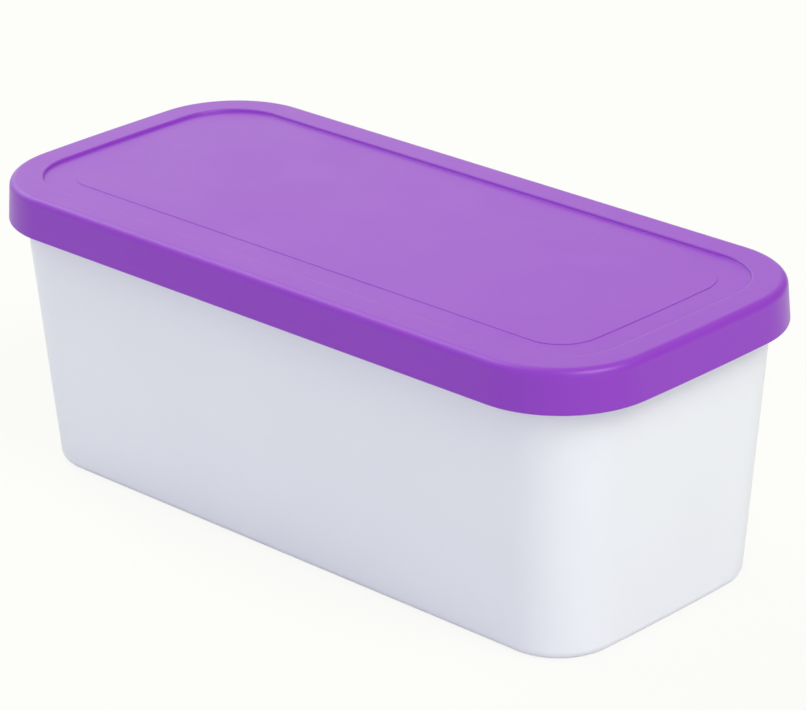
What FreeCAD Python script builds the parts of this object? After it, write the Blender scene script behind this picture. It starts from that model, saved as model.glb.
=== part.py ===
import FreeCAD, Part
import math
import os

import Sketcher

os.makedirs("parts", exist_ok=True)

# A long box for storing ice cream: a white tub with drafted walls, and a soft lid pressed over its rim.
#
# Frame: millimetres, +Z up. The origin is the middle of the footprint, on the surface that the box stands on.
# +X runs along the box and +Y across it. The box is the same from either end and from either side.
#
# Every outline is the same shape at another size: two straight sides, two ends that bow out slightly, and
# four round corners tangent to both. Each curve turns through the same angle in every outline, so the faces
# that join two outlines run smoothly into each other.
#
# The box is shut, so the tub is one solid up to the lid, and no space or contents are made inside it.

SIZES = {
    # Half the angle, in degrees, through which both ends of every outline bow out.
    "end_turn": 1.5,
    # Tub, at the floor. The walls lean out from here to the lip.
    "base_length": 224.0,
    "base_width": 90.8,
    "base_corner": 18.8,
    "base_edge": 3.0,
    # Shallow recess under the base, which leaves a flat foot all round.
    "foot_inset": 7.5,
    "foot_depth": 1.2,
    "foot_edge": 0.5,
    # Tub, where the walls meet the underside of the lip.
    "wall_length": 237.4,
    "wall_width": 101.5,
    "wall_corner": 21.2,
    "wall_height": 87.1,
    # Lip round the tub's top, which the lid grips.
    "lip_height": 4.0,
    "lip_edge": 0.8,
    "lip_clearance": 0.2,
    # Lid, at the skirt's lower edge. The skirt leans in by skirt_lean from there to the top.
    "lid_length": 250.0,
    "lid_width": 114.4,
    "lid_corner": 31.2,
    "lid_plate": 3.2,
    "skirt_height": 13.1,
    "skirt_lean": 0.9,
    "skirt_wall": 3.0,
    "skirt_edge": 0.5,
    "shoulder": 2.4,
    # Sunken field in the lid's top, inside the flat rim.
    "field_length": 227.5,
    "field_width": 92.0,
    "field_corner": 20.6,
    "field_depth": 0.9,
    "rim_edge": 0.7,
    "field_edge": 0.25,
    # Thin raised panel in the middle of the field.
    "panel_length": 209.6,
    "panel_width": 73.4,
    "panel_corner": 12.8,
    "panel_height": 0.15,
    "panel_edge": 0.07,
}

# Levels above the floor, as expressions on the sheet.
LIP_TOP = "Sizes.wall_height + Sizes.lip_height"
LID_TOP = LIP_TOP + " + Sizes.lid_plate"
SKIRT_FOOT = LID_TOP + " - Sizes.skirt_height"
FIELD_FLOOR = LID_TOP + " - Sizes.field_depth"
PANEL_TOP = FIELD_FLOOR + " + Sizes.panel_height"

# How close an edge must lie to a level to count as being on it.
LEVEL_TOLERANCE = 0.001


def fill_sheet(doc):
    """Write every driving dimension into the sheet, one row each, and give its cell the same name."""
    sheet = doc.addObject("Spreadsheet::Sheet", "Sizes")
    for row, (alias, value) in enumerate(SIZES.items(), start=1):
        sheet.set("A%d" % row, alias)
        sheet.set("B%d" % row, str(value))
        sheet.setAlias("B%d" % row, alias)
    doc.recompute()


def new_body(doc, label):
    """Start a sub-part in the box's own frame."""
    body = doc.addObject("PartDesign::Body", label)
    body.Label = label
    body.Placement = FreeCAD.Placement()
    return body


def origin_plane(body, role):
    """Return one of the body's own origin planes."""
    return next(item for item in body.Origin.OriginFeatures if item.Role == role)


def shrink(size, inset):
    """Return the expression for a length or width that is drawn in by an inset on both sides."""
    return "%s - 2 * (%s)" % (size, inset)


def arc(x, y, radius, start, stop):
    """Return a counter-clockwise arc about a point of the sketch."""
    circle = Part.Circle(FreeCAD.Vector(x, y, 0), FreeCAD.Vector(0, 0, 1), radius)
    return Part.ArcOfCircle(circle, start, stop)


def side(x, y):
    """Return a straight side from one point to its mirror image across the Y axis."""
    return Part.LineSegment(FreeCAD.Vector(x, y, 0), FreeCAD.Vector(-x, y, 0))


def outline_curves(length, width, corner, end):
    """Return the eight curves of an outline in counter-clockwise order, from the +X end round."""
    end_centre = end - length / 2
    corner_y = width / 2 - corner
    turn = math.asin(corner_y / (end - corner))
    corner_x = (end - corner) * math.cos(turn) - end_centre
    quarter = math.pi / 2
    half = math.pi
    return [
        arc(-end_centre, 0, end, -turn, turn),
        arc(corner_x, corner_y, corner, turn, quarter),
        side(corner_x, width / 2),
        arc(-corner_x, corner_y, corner, quarter, half - turn),
        arc(end_centre, 0, end, half - turn, half + turn),
        arc(-corner_x, -corner_y, corner, half + turn, 3 * quarter),
        side(-corner_x, -width / 2),
        arc(corner_x, -corner_y, corner, 3 * quarter, 2 * half - turn),
    ]


def bind(sketch, constraint, name, expression):
    """Add a named constraint whose value follows the sheet."""
    index = sketch.addConstraint(constraint)
    sketch.renameConstraint(index, name)
    sketch.setExpression("Constraints." + name, expression)


def outline(body, name, length, width, corner, level):
    """Sketch an outline on the body's XY plane, raised to a level. All sizes are expressions."""
    sketch = body.newObject("Sketcher::SketchObject", name)
    sketch.AttachmentSupport = [(origin_plane(body, "XY_Plane"), "")]
    sketch.MapMode = "FlatFace"
    sketch.setExpression("AttachmentOffset.Base.z", level)

    end = "%s + ((%s) / 2 - (%s)) / sin(Sizes.end_turn * 1deg)" % (corner, width, corner)
    values = [float(sketch.evalExpression(text)) for text in (length, width, corner, end)]
    curves = outline_curves(*values)
    sketch.addGeometry(curves, False)

    start_point, end_point, centre_point = 1, 2, 3
    x_axis = origin = -1
    plus_end, plus_corner, plus_side = 0, 1, 2
    minus_end, minus_side = 4, 6
    for index in range(len(curves)):
        following = (index + 1) % len(curves)
        sketch.addConstraint(Sketcher.Constraint("Tangent", index, end_point, following, start_point))
    for index in (3, 5, 7):
        sketch.addConstraint(Sketcher.Constraint("Equal", plus_corner, index))
    sketch.addConstraint(Sketcher.Constraint("Equal", plus_end, minus_end))
    for index in (plus_side, minus_side):
        sketch.addConstraint(Sketcher.Constraint("Horizontal", index))
    for index in (plus_end, minus_end):
        sketch.addConstraint(Sketcher.Constraint("PointOnObject", index, centre_point, x_axis))

    length_value, width_value, corner_value, end_value = values
    beyond = end_value - length_value / 2
    bind(sketch, Sketcher.Constraint("Radius", plus_corner, corner_value), "corner", corner)
    bind(sketch, Sketcher.Constraint("Radius", plus_end, end_value), "end", end)
    bind(sketch, Sketcher.Constraint("DistanceX", plus_end, centre_point, origin, start_point, beyond),
         "plus_centre", "%s - (%s) / 2" % (end, length))
    bind(sketch, Sketcher.Constraint("DistanceX", origin, start_point, minus_end, centre_point, beyond),
         "minus_centre", "%s - (%s) / 2" % (end, length))
    bind(sketch, Sketcher.Constraint("DistanceY", origin, start_point, plus_side, start_point, width_value / 2),
         "plus_width", "(%s) / 2" % width)
    bind(sketch, Sketcher.Constraint("DistanceY", minus_side, start_point, origin, start_point, width_value / 2),
         "minus_width", "(%s) / 2" % width)
    sketch.Visibility = False
    return sketch


def settle(feature):
    """Recompute the document and stop if the feature failed."""
    feature.Document.recompute()
    if not {"Invalid", "Error"}.isdisjoint(feature.State) or feature.Shape.isNull():
        raise RuntimeError("%s failed" % feature.Name)


def loft(body, kind, name, upper, lower):
    """Add or cut the straight-sided form from an upper outline down to a lower one."""
    feature = body.newObject("PartDesign::" + kind, name)
    feature.Profile = upper
    feature.Sections = [lower]
    feature.Ruled = True
    settle(feature)


def pad(body, name, sketch, height):
    """Raise an outline upwards."""
    feature = body.newObject("PartDesign::Pad", name)
    feature.Profile = sketch
    feature.setExpression("Length", height)
    settle(feature)


def pocket(body, name, sketch, depth, upwards):
    """Sink an outline into the body, upwards or downwards, and make sure that it cut something."""
    before = body.Tip.Shape.Volume
    feature = body.newObject("PartDesign::Pocket", name)
    feature.Profile = sketch
    feature.Reversed = upwards
    feature.setExpression("Length", depth)
    settle(feature)
    if feature.Shape.Volume >= before:
        raise RuntimeError("%s cuts nothing" % name)


def edges_at(body, level, length, width):
    """Name the edges of the newest shape that lie on a level, inside a length and a width."""
    height = float(body.evalExpression(level))
    half_length = float(body.evalExpression(length)) / 2 + LEVEL_TOLERANCE
    half_width = float(body.evalExpression(width)) / 2 + LEVEL_TOLERANCE
    names = []
    for number, edge in enumerate(body.Tip.Shape.Edges, start=1):
        box = edge.BoundBox
        on_level = max(abs(box.ZMin - height), abs(box.ZMax - height)) < LEVEL_TOLERANCE
        inside = max(-box.XMin, box.XMax) < half_length and max(-box.YMin, box.YMax) < half_width
        if on_level and inside:
            names.append("Edge%d" % number)
    return names


def round_off(body, name, radius, level, length, width):
    """Round the edges that lie on a level, inside a length and a width."""
    base = body.Tip
    names = edges_at(body, level, length, width)
    if not names:
        raise RuntimeError("%s finds no edge" % name)
    feature = body.newObject("PartDesign::Fillet", name)
    feature.Base = (base, names)
    feature.setExpression("Radius", radius)
    settle(feature)


def make_tub(doc):
    """The tub: leaning walls on a flat foot, and a lip round the top that fits inside the lid."""
    body = new_body(doc, "tub")

    base_size = ("Sizes.base_length", "Sizes.base_width")
    wall_size = ("Sizes.wall_length", "Sizes.wall_width")
    base = outline(body, "base_outline", *base_size, "Sizes.base_corner", "0")
    wall = outline(body, "wall_outline", *wall_size, "Sizes.wall_corner", "Sizes.wall_height")
    loft(body, "AdditiveLoft", "walls", wall, base)
    round_off(body, "base_rounding", "Sizes.base_edge", "0", *base_size)

    inset = "Sizes.foot_inset"
    foot_size = [shrink(size, inset) for size in base_size]
    foot = outline(body, "foot_outline", *foot_size, "Sizes.base_corner - " + inset, "0")
    pocket(body, "foot_recess", foot, "Sizes.foot_depth", upwards=True)
    round_off(body, "foot_rounding", "Sizes.foot_edge", "0", *foot_size)
    round_off(body, "foot_roof_rounding", "Sizes.foot_edge", "Sizes.foot_depth", *foot_size)

    low_size, low_corner = lid_inside("Sizes.wall_height", "Sizes.lip_clearance")
    top_size, top_corner = lid_inside(LIP_TOP, "Sizes.lip_clearance")
    lip_low = outline(body, "lip_low_outline", *low_size, low_corner, "Sizes.wall_height")
    lip_top = outline(body, "lip_top_outline", *top_size, top_corner, LIP_TOP)
    loft(body, "AdditiveLoft", "lip", lip_top, lip_low)
    round_off(body, "lip_top_rounding", "Sizes.lip_edge", LIP_TOP, *top_size)
    return body


def lid_inside(level, clearance):
    """Return the size and corner of the lid's inner face at a level, drawn in by a clearance."""
    rise = "((%s) - (%s))" % (level, SKIRT_FOOT)
    lean = "Sizes.skirt_lean * %s / Sizes.skirt_height" % rise
    inset = "Sizes.skirt_wall + %s + %s" % (lean, clearance)
    size = (shrink("Sizes.lid_length", inset), shrink("Sizes.lid_width", inset))
    return size, "Sizes.lid_corner - (%s)" % inset


def make_lid(doc):
    """The lid: a plate with a sunken field and a raised panel, and a skirt that hangs outside the tub."""
    body = new_body(doc, "lid")

    foot_size = ("Sizes.lid_length", "Sizes.lid_width")
    lean = "Sizes.skirt_lean"
    top_size = [shrink(size, lean) for size in foot_size]
    foot = outline(body, "skirt_outline", *foot_size, "Sizes.lid_corner", SKIRT_FOOT)
    top = outline(body, "top_outline", *top_size, "Sizes.lid_corner - " + lean, LID_TOP)
    loft(body, "AdditiveLoft", "cap", top, foot)
    round_off(body, "shoulder_rounding", "Sizes.shoulder", LID_TOP, *top_size)

    low_size, low_corner = lid_inside(SKIRT_FOOT, "0")
    high_size, high_corner = lid_inside(LIP_TOP, "0")
    inside_low = outline(body, "inside_low_outline", *low_size, low_corner, SKIRT_FOOT)
    inside_top = outline(body, "inside_top_outline", *high_size, high_corner, LIP_TOP)
    loft(body, "SubtractiveLoft", "inside", inside_top, inside_low)
    round_off(body, "skirt_rounding", "Sizes.skirt_edge", SKIRT_FOOT, *foot_size)

    field_size = ("Sizes.field_length", "Sizes.field_width")
    field = outline(body, "field_outline", *field_size, "Sizes.field_corner", LID_TOP)
    pocket(body, "field", field, "Sizes.field_depth", upwards=False)
    round_off(body, "rim_rounding", "Sizes.rim_edge", LID_TOP, *field_size)
    round_off(body, "field_rounding", "Sizes.field_edge", FIELD_FLOOR, *field_size)

    panel_size = ("Sizes.panel_length", "Sizes.panel_width")
    panel = outline(body, "panel_outline", *panel_size, "Sizes.panel_corner", FIELD_FLOOR)
    pad(body, "panel", panel, "Sizes.panel_height")
    round_off(body, "panel_rounding", "Sizes.panel_edge", PANEL_TOP, *panel_size)
    return body


def check(doc, bodies):
    """Stop if any object failed or any sub-part isn't one valid solid."""
    for item in doc.Objects:
        if not {"Invalid", "Error"}.isdisjoint(item.State):
            raise RuntimeError("%s failed" % item.Label)
    for body in bodies:
        shape = body.Shape
        if shape.isNull() or not shape.isValid() or len(shape.Solids) != 1:
            raise RuntimeError("%s isn't one valid solid" % body.Label)
        print(body.Label, "volume %.0f mm3" % shape.Volume, shape.BoundBox)
    tub, lid = bodies
    print("shared volume %.6f mm3" % tub.Shape.common(lid.Shape).Volume)


def main():
    doc = FreeCAD.newDocument("ice_cream_storage_box")
    fill_sheet(doc)
    bodies = [make_tub(doc), make_lid(doc)]
    doc.recompute()
    check(doc, bodies)
    for body in bodies:
        body.Shape.exportStep("parts/%s.step" % body.Label)


main()
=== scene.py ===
import math

import bmesh
import bpy
import numpy as np
from mathutils import Matrix, Vector


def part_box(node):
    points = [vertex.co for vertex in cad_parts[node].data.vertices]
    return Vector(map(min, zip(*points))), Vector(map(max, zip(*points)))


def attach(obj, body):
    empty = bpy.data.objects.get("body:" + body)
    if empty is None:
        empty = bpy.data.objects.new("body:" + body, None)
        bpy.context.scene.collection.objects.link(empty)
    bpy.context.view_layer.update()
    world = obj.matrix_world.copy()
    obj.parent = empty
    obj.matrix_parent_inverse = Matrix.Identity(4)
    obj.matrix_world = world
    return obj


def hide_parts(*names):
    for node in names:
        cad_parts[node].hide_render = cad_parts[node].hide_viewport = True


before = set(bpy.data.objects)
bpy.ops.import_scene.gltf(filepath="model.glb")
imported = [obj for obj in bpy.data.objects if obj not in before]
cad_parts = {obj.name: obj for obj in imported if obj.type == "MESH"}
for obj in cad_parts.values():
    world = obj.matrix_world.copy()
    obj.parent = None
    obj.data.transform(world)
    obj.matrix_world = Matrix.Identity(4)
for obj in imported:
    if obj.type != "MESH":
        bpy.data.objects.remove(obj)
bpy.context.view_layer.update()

# A long ice cream storage box, shut: a satin white tub and a soft purple lid.
#
# Lengths are in metres. +X runs along the box, +Y across it and +Z up, and the origin is the middle of the
# footprint. Both pieces are skins drawn through rings. Every ring has the same outline at another size: two
# straight sides, two slightly bowed ends and four round corners. A piece is a section, which says how far in
# from the widest outline and how high each ring lies.

MM = 0.001

# Outlines, each as (length, width, corner radius).
LID_FOOT = (250.0 * MM, 114.4 * MM, 31.2 * MM)
LID_FIELD = (227.5 * MM, 92.0 * MM, 20.6 * MM)
LID_PANEL = (209.6 * MM, 73.4 * MM, 12.8 * MM)
TUB_WALL = (237.4 * MM, 101.5 * MM, 21.2 * MM)
TUB_BASE = (224.0 * MM, 90.8 * MM, 18.8 * MM)

# Half the angle through which both ends of every outline bow out.
END_TURN = math.radians(1.5)

# Heights. The tops of both pieces and the foot of the lid's skirt come from the frame.
LID_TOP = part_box("lid")[1].z
SKIRT_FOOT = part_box("lid")[0].z
TUB_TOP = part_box("tub")[1].z
LIP_HEIGHT = 4.0 * MM
FIELD_DEPTH = 0.9 * MM
PANEL_HEIGHT = 0.15 * MM
FOOT_DEPTH = 1.2 * MM

SKIRT_LEAN = 0.9 * MM
SKIRT_WALL = 3.0 * MM
LIP_CLEARANCE = 0.2 * MM
FOOT_INSET = 7.5 * MM

# Radii of the rounded edges. Those of the lid come first, from its inside over the skirt to the panel.
INSIDE_EDGE = 0.6 * MM
SKIRT_EDGE = 0.5 * MM
SHOULDER = 2.4 * MM
RIM_EDGE = 0.7 * MM
FIELD_EDGE = 0.25 * MM
PANEL_EDGE = 0.07 * MM
FOOT_EDGE = 0.5 * MM
BASE_EDGE = 3.0 * MM
WALL_EDGE = 0.3 * MM
LIP_EDGE = 0.8 * MM

# How far past its last edge each flat top or bottom keeps its outline before it closes to its spine.
BEYOND = 4.0 * MM

# Segments on each curve of a ring, and on each rounded edge of a section.
CORNER_STEPS = 28
END_STEPS = 24
SIDE_STEPS = 56
EDGE_STEPS = 7
CAP_STEPS = 14

# Longest ring spacing on a straight stretch, distance of the ring that guards each rounded edge, and weld.
STRAIGHT_STEP = 4.0 * MM
SUPPORT = 0.25 * MM
WELD = 0.001 * MM

# The two surfaces. The colours are screen values. Grain and waviness are (size across, depth).
LID_SURFACE = {
    "colours": ((142, 56, 194), (140, 54, 192)),
    "roughness": (0.28, 0.34),
    "grain": (0.5 * MM, 0.004 * MM),
    "wave": (45 * MM, 0.02 * MM),
    "ior": 1.42,
}
TUB_SURFACE = {
    "colours": ((239, 240, 249), (237, 238, 247)),
    "roughness": (0.34, 0.42),
    "grain": (0.7 * MM, 0.003 * MM),
    "wave": (60 * MM, 0.02 * MM),
    "ior": 1.49,
}

# Size of the blotches of colour and of gloss on both surfaces, how finely each noise is broken up, and the
# middle part of the noise that the values are drawn from.
COLOUR_BLOTCH = 60 * MM
GLOSS_BLOTCH = 25 * MM
COLOUR_DETAIL = 3.0
GLOSS_DETAIL = 4.0
WAVE_DETAIL = 1.0
GRAIN_DETAIL = 3.0
NOISE_RANGE = (0.3, 0.7)

# Studio. The glow is how much of the floor the camera sees as plain background. The overlap is how far the
# floor reaches in under the base before it is left open.
BACKGROUND_COLOUR = (255, 255, 252)
FLOOR_COLOUR = (0.72, 0.7, 0.73, 1.0)
FLOOR_GLOW = 0.88
FLOOR_RADIUS = 4.0
FLOOR_OVERLAP = 3.5 * MM
SKY_LIGHT = (0.24, 0.25, 0.26)

# Soft boxes, each as (azimuth from the front towards the right, elevation, focus, strength).
SOFT_BOXES = (
    (88, 50, 30, (8.3, 8.3, 7.6)),
    (-92, 36, 19, (1.9, 2.0, 1.75)),
    (-97, 49, 16, (1.15, 1.4, 0.85)),
    (64, 3, 8, (0.85, 1.0, 0.75)),
    (-90, 10, 4, (0.6, 0.67, 0.55)),
    (0, 15, 4, (0.385, 0.38, 0.6)),
    (-135, 10, 14, (0.78, 0.8, 0.52)),
    (0, 90, 2, (0.42, 0.4, 0.37)),
)

# Camera, as azimuth and elevation round a point near the middle of the box, with a little roll.
# The lens and the sensor are in real millimetres.
CAMERA_AIM = Vector((-9.4 * MM, 16.7 * MM, 43.2 * MM))
CAMERA_AZIMUTH = math.radians(44.24)
CAMERA_ELEVATION = math.radians(23.16)
CAMERA_ROLL = math.radians(1.15)
CAMERA_DISTANCE = 1.149
CAMERA_LENS = 167.0
SENSOR_WIDTH = 36.0
CLIP_END = 20.0


# ---------------------------------------------------------------- rings and sections

def spread(start, stop, steps):
    """Return evenly spaced values from start, leaving the last one for the next curve."""
    return np.linspace(start, stop, steps, endpoint=False)


def arc(x, y, radius, start, stop, steps):
    """Return points on an arc about (x, y)."""
    angle = spread(start, stop, steps)
    return np.column_stack([x + radius * np.cos(angle), y + radius * np.sin(angle)])


def line(start, stop, steps):
    """Return points on a straight line."""
    share = spread(0, 1, steps)[:, None]
    return np.array(start) * (1 - share) + np.array(stop) * share


def ring(outline):
    """Return the points of an outline, counter-clockwise from the +X end."""
    length, width, corner = outline
    corner_y = width / 2 - corner
    end = corner + corner_y / math.sin(END_TURN)
    end_centre = end - length / 2
    corner_x = (end - corner) * math.cos(END_TURN) - end_centre
    quarter = math.pi / 2
    half_round = [
        arc(-end_centre, 0, end, -END_TURN, END_TURN, END_STEPS),
        arc(corner_x, corner_y, corner, END_TURN, quarter, CORNER_STEPS),
        line((corner_x, width / 2), (-corner_x, width / 2), SIDE_STEPS),
        arc(-corner_x, corner_y, corner, quarter, 2 * quarter - END_TURN, CORNER_STEPS),
    ]
    points = np.vstack(half_round)
    return np.vstack([points, -points])


def between(outlines, insets, inset):
    """Return the outline at an inset, worked out between the outlines known at given insets."""
    return tuple(np.interp(inset, insets, sizes) for sizes in zip(*outlines))


def rounded(points):
    """Return a section whose corners are rounded. Each point is (inset, height, radius)."""
    section = []
    for index, (inset, height, radius) in enumerate(points):
        here = Vector((inset, height))
        if radius == 0:
            section.append(here)
            continue
        before = (Vector(points[index - 1][:2]) - here).normalized()
        after = (Vector(points[index + 1][:2]) - here).normalized()
        half_angle = before.angle(after) / 2
        centre = here + (before + after).normalized() * radius / math.sin(half_angle)
        start = (here + before * radius / math.tan(half_angle) - centre).normalized()
        stop = (here + after * radius / math.tan(half_angle) - centre).normalized()
        for step in range(EDGE_STEPS + 1):
            section.append(centre + radius * start.slerp(stop, step / EDGE_STEPS))
    return section


def fill_straights(section):
    """Add rings along the straight stretches, with one close to each end so that the shading stays flat."""
    filled = [section[0]]
    for start, stop in zip(section, section[1:]):
        length = (stop - start).length
        if length > 3 * SUPPORT:
            inner = length - 2 * SUPPORT
            steps = max(1, math.ceil(inner / STRAIGHT_STEP))
            for step in range(steps + 1):
                filled.append(start.lerp(stop, (SUPPORT + inner * step / steps) / length))
        filled.append(stop)
    return filled


def cap(outline, inwards):
    """Return rings that close a ring down to its spine, ordered from the edge in or from the spine out."""
    edge = ring(outline)
    reach = (outline[0] - outline[1]) / 2
    spine = np.column_stack([edge[:, 0].clip(-reach, reach), np.zeros(len(edge))])
    support = SUPPORT / (outline[1] / 2)
    shares = np.concatenate([[support], np.linspace(0, 1, CAP_STEPS + 1)[1:]])
    rings = [edge * (1 - share) + spine * share for share in shares]
    return rings if inwards else rings[::-1]


def skin(name, section, outlines, insets):
    """Make a closed skin through the rings of a section, capped at both ends."""
    first, last = section[0], section[-1]
    flat_rings = [(points, first.y) for points in cap(between(outlines, insets, first.x), inwards=False)]
    for inset, height in fill_straights(section):
        flat_rings.append((ring(between(outlines, insets, inset)), height))
    flat_rings += [(points, last.y) for points in cap(between(outlines, insets, last.x), inwards=True)]

    count = len(flat_rings[0][0])
    vertices = np.vstack([np.column_stack([points, np.full(count, height)]) for points, height in flat_rings])
    low = np.arange(count)
    high = np.roll(low, -1)
    faces = []
    for level in range(len(flat_rings) - 1):
        base = level * count
        faces.append(np.column_stack([low, high, high + count, low + count]) + base)
    mesh = bpy.data.meshes.new(name)
    mesh.from_pydata(vertices.tolist(), [], np.vstack(faces).tolist())

    soup = bmesh.new()
    soup.from_mesh(mesh)
    bmesh.ops.remove_doubles(soup, verts=soup.verts, dist=WELD)
    soup.to_mesh(mesh)
    soup.free()
    mesh.shade_smooth()
    piece = bpy.data.objects.new(name, mesh)
    bpy.context.scene.collection.objects.link(piece)
    return piece


# ---------------------------------------------------------------- the two pieces

def lid_inset(height, extra):
    """Return how far the lid's inner face lies in from the skirt's foot at a height, plus an extra."""
    return SKIRT_WALL + SKIRT_LEAN * (height - SKIRT_FOOT) / (LID_TOP - SKIRT_FOOT) + extra


def offset(outline, inset):
    """Return an outline drawn in by an inset all round."""
    length, width, corner = outline
    return (length - 2 * inset, width - 2 * inset, corner - inset)


def make_lid():
    """The lid: a plate with a flat rim, a sunken field and a thin raised panel, and a hanging skirt."""
    field = (LID_FOOT[0] - LID_FIELD[0]) / 2
    panel = (LID_FOOT[0] - LID_PANEL[0]) / 2
    inside = lid_inset(TUB_TOP, 0)
    outlines = (LID_FOOT, LID_FIELD, LID_PANEL, offset(LID_PANEL, BEYOND))
    insets = (0, field, panel, panel + BEYOND)
    field_floor = LID_TOP - FIELD_DEPTH
    section = rounded([
        (panel, TUB_TOP, 0),
        (inside, TUB_TOP, INSIDE_EDGE),
        (SKIRT_WALL, SKIRT_FOOT, SKIRT_EDGE),
        (0, SKIRT_FOOT, SKIRT_EDGE),
        (SKIRT_LEAN, LID_TOP, SHOULDER),
        (field, LID_TOP, RIM_EDGE),
        (field, field_floor, FIELD_EDGE),
        (panel, field_floor, PANEL_EDGE),
        (panel, field_floor + PANEL_HEIGHT, PANEL_EDGE),
        (panel + BEYOND, field_floor + PANEL_HEIGHT, 0),
    ])
    return skin("lid_skin", section, outlines, insets)


def make_tub():
    """The tub: a flat foot round a shallow recess, leaning walls and a lip that sits inside the lid."""
    wall_top = TUB_TOP - LIP_HEIGHT
    lip_low = offset(LID_FOOT, lid_inset(wall_top, LIP_CLEARANCE))
    lip_high = offset(LID_FOOT, lid_inset(TUB_TOP, LIP_CLEARANCE))
    foot = offset(TUB_BASE, FOOT_INSET)
    low = (TUB_WALL[0] - lip_low[0]) / 2
    high = (TUB_WALL[0] - lip_high[0]) / 2
    base = (TUB_WALL[0] - TUB_BASE[0]) / 2
    recess = base + FOOT_INSET
    outlines = (lip_low, TUB_WALL, TUB_BASE, foot, offset(foot, BEYOND))
    insets = (low, 0, base, recess, recess + BEYOND)
    section = rounded([
        (recess + BEYOND, FOOT_DEPTH, 0),
        (recess, FOOT_DEPTH, FOOT_EDGE),
        (recess, 0, FOOT_EDGE),
        (base, 0, BASE_EDGE),
        (0, wall_top, WALL_EDGE),
        (low, wall_top, WALL_EDGE),
        (high, TUB_TOP, LIP_EDGE),
        (0, TUB_TOP, 0),
    ])
    return skin("tub_skin", section, outlines, insets)


# ---------------------------------------------------------------- materials

def linear(red, green, blue):
    """Return a screen colour, each part from 0 to 255, as the linear colour that renders as it."""
    parts = [value / 255 for value in (red, green, blue)]
    return [p / 12.92 if p <= 0.04045 else ((p + 0.055) / 1.055) ** 2.4 for p in parts] + [1.0]


class Nodes:
    """A short way to build a material's or a world's node tree."""

    def __init__(self, tree):
        self.tree = tree
        tree.nodes.clear()

    def add(self, kind, **settings):
        """Add a node and set its properties."""
        node = self.tree.nodes.new("ShaderNode" + kind)
        for name, value in settings.items():
            setattr(node, name, value)
        return node

    def join(self, source, target):
        """Link an output socket to an input socket."""
        self.tree.links.new(source, target)

    def noise(self, size, detail, low, high):
        """Return a smooth random value from low to high, whose blotches are about a size across."""
        place = self.add("TexCoord")
        noise = self.add("TexNoise")
        noise.inputs["Scale"].default_value = 1 / size
        noise.inputs["Detail"].default_value = detail
        self.join(place.outputs["Object"], noise.inputs["Vector"])
        ranged = self.add("MapRange")
        ranged.inputs["From Min"].default_value = NOISE_RANGE[0]
        ranged.inputs["From Max"].default_value = NOISE_RANGE[1]
        ranged.inputs["To Min"].default_value = low
        ranged.inputs["To Max"].default_value = high
        self.join(noise.outputs["Fac"], ranged.inputs["Value"])
        return ranged.outputs["Result"]

    def blend(self, share, first, second):
        """Return a colour between two, by a share."""
        mix = self.add("Mix", data_type="RGBA")
        mix.inputs["A"].default_value = first
        mix.inputs["B"].default_value = second
        self.join(share, mix.inputs["Factor"])
        return mix.outputs["Result"]

    def bump(self, height, depth, normal=None):
        """Return a normal roughened by a height from 0 to 1 that stands for a depth."""
        bump = self.add("Bump")
        bump.inputs["Strength"].default_value = 1.0
        bump.inputs["Distance"].default_value = depth
        self.join(height, bump.inputs["Height"])
        if normal is not None:
            self.join(normal, bump.inputs["Normal"])
        return bump.outputs["Normal"]


def moulded(name, colours, roughness, grain, wave, ior):
    """A satin moulded surface: faint colour clouds, uneven gloss, a fine grain and a long low waviness.

    colours and roughness are pairs, low to high. grain and wave are (size across, depth).
    """
    material = bpy.data.materials.new(name)
    material.use_nodes = True
    nodes = Nodes(material.node_tree)
    shader = nodes.add("BsdfPrincipled")
    shader.inputs["IOR"].default_value = ior
    clouds = nodes.noise(COLOUR_BLOTCH, COLOUR_DETAIL, 0.0, 1.0)
    blended = nodes.blend(clouds, *[linear(*colour) for colour in colours])
    nodes.join(blended, shader.inputs["Base Color"])
    nodes.join(nodes.noise(GLOSS_BLOTCH, GLOSS_DETAIL, *roughness), shader.inputs["Roughness"])
    waves = nodes.bump(nodes.noise(wave[0], WAVE_DETAIL, 0.0, 1.0), wave[1])
    grains = nodes.bump(nodes.noise(grain[0], GRAIN_DETAIL, 0.0, 1.0), grain[1], waves)
    nodes.join(grains, shader.inputs["Normal"])
    output = nodes.add("OutputMaterial")
    nodes.join(shader.outputs["BSDF"], output.inputs["Surface"])
    return material


def floor_material():
    """A plain white floor that keeps the box's shadow. It can't be seen from below."""
    material = bpy.data.materials.new("pale_floor")
    material.use_nodes = True
    nodes = Nodes(material.node_tree)
    lit = nodes.add("BsdfDiffuse")
    lit.inputs["Color"].default_value = FLOOR_COLOUR
    plain = nodes.add("Emission")
    plain.inputs["Color"].default_value = linear(*BACKGROUND_COLOUR)
    light_path = nodes.add("LightPath")
    share = nodes.add("Math", operation="MULTIPLY")
    share.inputs[1].default_value = FLOOR_GLOW
    nodes.join(light_path.outputs["Is Camera Ray"], share.inputs[0])
    glow = nodes.add("MixShader")
    nodes.join(share.outputs["Value"], glow.inputs["Fac"])
    nodes.join(lit.outputs["BSDF"], glow.inputs[1])
    nodes.join(plain.outputs["Emission"], glow.inputs[2])
    clear = nodes.add("BsdfTransparent")
    sides = nodes.add("NewGeometry")
    one_sided = nodes.add("MixShader")
    nodes.join(sides.outputs["Backfacing"], one_sided.inputs["Fac"])
    nodes.join(glow.outputs["Shader"], one_sided.inputs[1])
    nodes.join(clear.outputs["BSDF"], one_sided.inputs[2])
    output = nodes.add("OutputMaterial")
    nodes.join(one_sided.outputs["Shader"], output.inputs["Surface"])
    return material


# ---------------------------------------------------------------- studio

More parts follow.
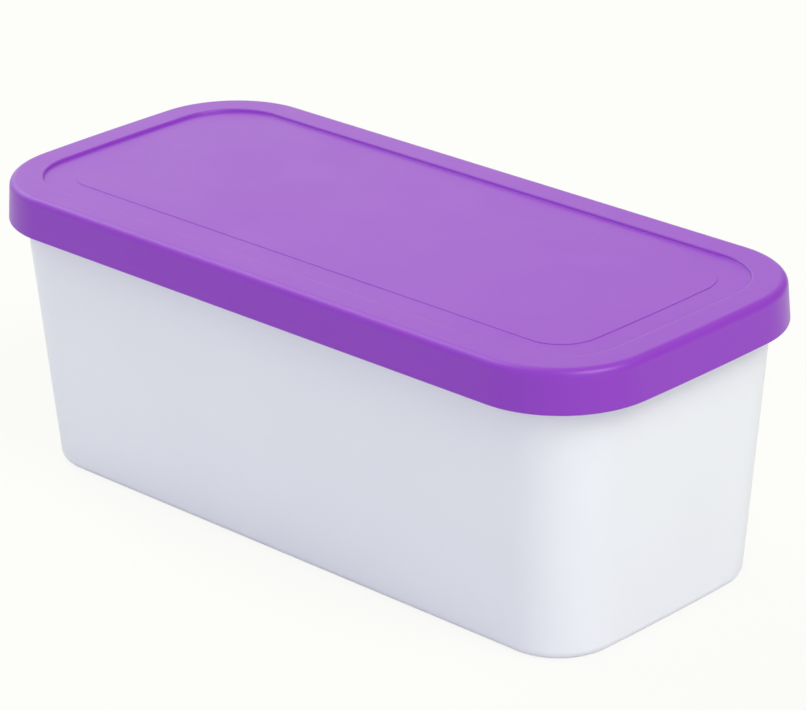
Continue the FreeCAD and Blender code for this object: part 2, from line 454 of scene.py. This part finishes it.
def add_floor():
    """Lay a round floor under the box, open below the foot so that light reaches the base from below."""
    hole = ring(offset(TUB_BASE, FLOOR_OVERLAP))
    edge = hole / np.linalg.norm(hole, axis=1)[:, None] * FLOOR_RADIUS
    count = len(hole)
    vertices = np.vstack([np.column_stack([points, np.zeros(count)]) for points in (hole, edge)])
    low = np.arange(count)
    high = np.roll(low, -1)
    faces = np.column_stack([low, low + count, high + count, high])
    mesh = bpy.data.meshes.new("floor")
    mesh.from_pydata(vertices.tolist(), [], faces.tolist())
    floor = bpy.data.objects.new("floor", mesh)
    bpy.context.scene.collection.objects.link(floor)
    mesh.materials.append(floor_material())


def towards(azimuth, elevation):
    """Return the direction to a light. The azimuth counts from the front towards the right."""
    level = math.cos(elevation)
    return Vector((math.sin(azimuth) * level, -math.cos(azimuth) * level, math.sin(elevation)))


def add_soft_box(nodes, direction, colour, soft_box):
    """Return the light from a direction with a soft box added. A colour of None stands for the bare sky."""
    azimuth, elevation, focus, strength = soft_box
    facing = nodes.add("VectorMath", operation="DOT_PRODUCT")
    facing.inputs[1].default_value = towards(math.radians(azimuth), math.radians(elevation))
    nodes.join(direction, facing.inputs[0])
    front = nodes.add("Math", operation="MAXIMUM")
    front.inputs[1].default_value = 0.0
    nodes.join(facing.outputs["Value"], front.inputs[0])
    spot = nodes.add("Math", operation="POWER")
    spot.inputs[1].default_value = focus
    nodes.join(front.outputs["Value"], spot.inputs[0])
    total = nodes.add("VectorMath", operation="MULTIPLY_ADD")
    total.inputs[1].default_value = strength
    nodes.join(spot.outputs["Value"], total.inputs[0])
    if colour is None:
        total.inputs[2].default_value = SKY_LIGHT
    else:
        nodes.join(colour, total.inputs[2])
    return total.outputs["Vector"]


def set_world():
    """Light the box from all round, more from the soft boxes, and show plain white past the floor."""
    world = bpy.data.worlds.new("studio")
    bpy.context.scene.world = world
    world.use_nodes = True
    nodes = Nodes(world.node_tree)
    place = nodes.add("TexCoord")
    colour = None
    for soft_box in SOFT_BOXES:
        colour = add_soft_box(nodes, place.outputs["Generated"], colour, soft_box)
    light = nodes.add("Background")
    nodes.join(colour, light.inputs["Color"])
    seen = nodes.add("Background")
    seen.inputs["Color"].default_value = linear(*BACKGROUND_COLOUR)
    light_path = nodes.add("LightPath")
    mix = nodes.add("MixShader")
    nodes.join(light_path.outputs["Is Camera Ray"], mix.inputs["Fac"])
    nodes.join(light.outputs["Background"], mix.inputs[1])
    nodes.join(seen.outputs["Background"], mix.inputs[2])
    output = nodes.add("OutputWorld")
    nodes.join(mix.outputs["Shader"], output.inputs["Surface"])


def add_camera():
    """Place the camera, looking down at the box's near corner."""
    data = bpy.data.cameras.new("camera")
    data.lens = CAMERA_LENS
    data.sensor_width = SENSOR_WIDTH
    data.clip_end = CLIP_END
    camera = bpy.data.objects.new("camera", data)
    turn = Matrix.Rotation(CAMERA_AZIMUTH, 4, "Z")
    tilt = Matrix.Rotation(math.pi / 2 - CAMERA_ELEVATION, 4, "X")
    roll = Matrix.Rotation(-CAMERA_ROLL, 4, "Z")
    back = Matrix.Translation((0, 0, CAMERA_DISTANCE))
    camera.matrix_world = Matrix.Translation(CAMERA_AIM) @ turn @ tilt @ roll @ back
    bpy.context.scene.collection.objects.link(camera)
    bpy.context.scene.camera = camera


# ---------------------------------------------------------------- put together

lid = make_lid()
tub = make_tub()
lid.data.materials.append(moulded("purple_silicone", **LID_SURFACE))
tub.data.materials.append(moulded("white_plastic", **TUB_SURFACE))
for piece, node, slot in ((lid, "lid", "lid_silicone"), (tub, "tub", "tub_plastic")):
    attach(piece, "root")
    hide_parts(node)

add_floor()
set_world()
add_camera()
bpy.context.scene.view_settings.view_transform = "Standard"
